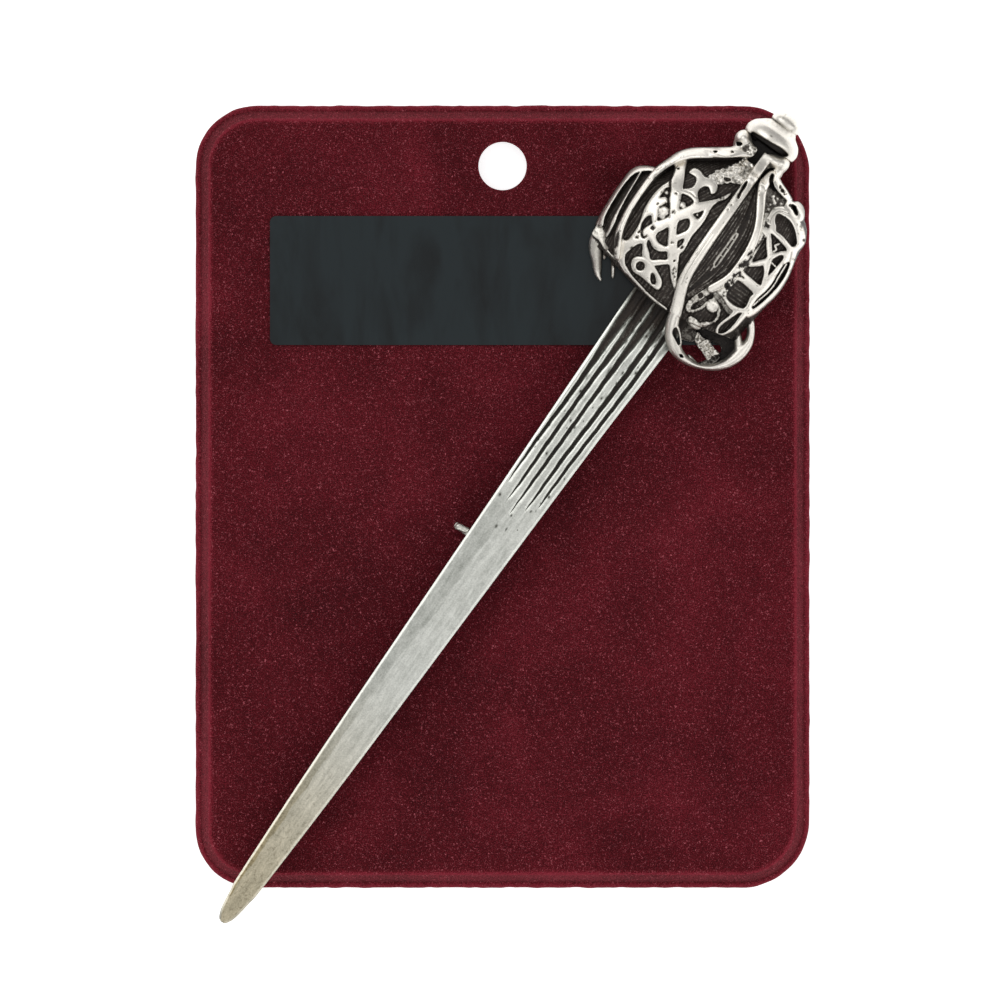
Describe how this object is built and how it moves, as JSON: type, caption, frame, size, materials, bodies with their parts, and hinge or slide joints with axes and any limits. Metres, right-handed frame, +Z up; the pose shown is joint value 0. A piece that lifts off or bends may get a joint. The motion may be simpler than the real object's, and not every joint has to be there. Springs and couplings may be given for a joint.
{
  "type": "kilt pin on display card",
  "caption": "Cast pewter kilt pin shaped as a basket-hilted sword with a knotwork hilt, pinned across a velvet-flocked display card with a hang hole and a dark blank label.",
  "frame": {"origin": "middle of the bounding box's underside, on the surface that the card lies on", "axes": "+Y towards the card's top edge and hang hole, +Z up out of the card's face, +X towards the hilt's side"},
  "size_m": [0.0676, 0.0896, 0.0137],
  "materials": {
    "flock": "matte flocked velvet",
    "label": "glossy film",
    "pewter": "polished cast pewter with dark patina in the recesses",
    "pin_steel": "plain bright wire"
  },
  "bodies": {
    "root": {"display_card": "flock", "card_label": "label", "blade": "pewter", "basket_hilt": "pewter", "pommel": "pewter", "pin_back": "pin_steel"}
  },
  "joints": []
}
